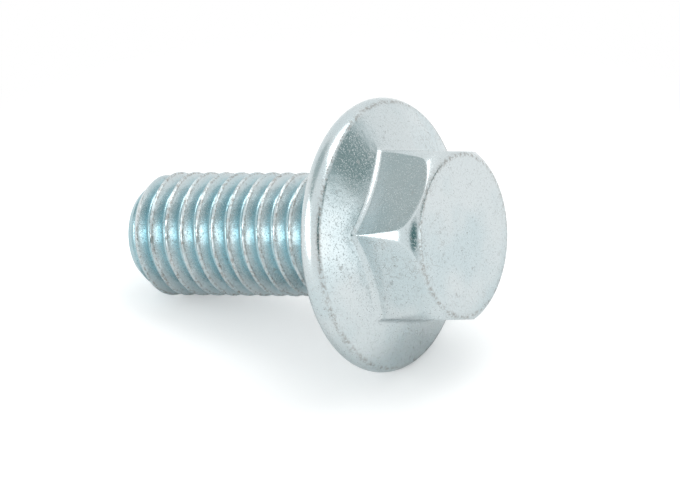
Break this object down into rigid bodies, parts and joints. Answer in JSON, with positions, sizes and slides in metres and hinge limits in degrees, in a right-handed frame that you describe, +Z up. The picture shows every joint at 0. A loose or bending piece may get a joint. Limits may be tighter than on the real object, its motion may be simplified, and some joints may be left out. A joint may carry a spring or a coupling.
{
  "type": "hexagon flange bolt",
  "caption": "Hexagon head bolt with an integral flange and a coarse metric thread along the whole shank, in zinc plated steel, lying as it rests.",
  "frame": {"origin": "centre of the bearing face under the flange, on the bolt's axis", "axes": "the bolt lies as it comes to rest: +Z up, +X towards the head, with the axis in the XZ plane and raised 16.5 degrees at the head end"},
  "size_m": [0.0371, 0.026, 0.0251],
  "materials": {
    "zinc_plated_steel": "pale blue passivated zinc plating, satin to bright, finely speckled"
  },
  "bodies": {
    "root": {"flange_bolt": "zinc_plated_steel"}
  },
  "joints": []
}
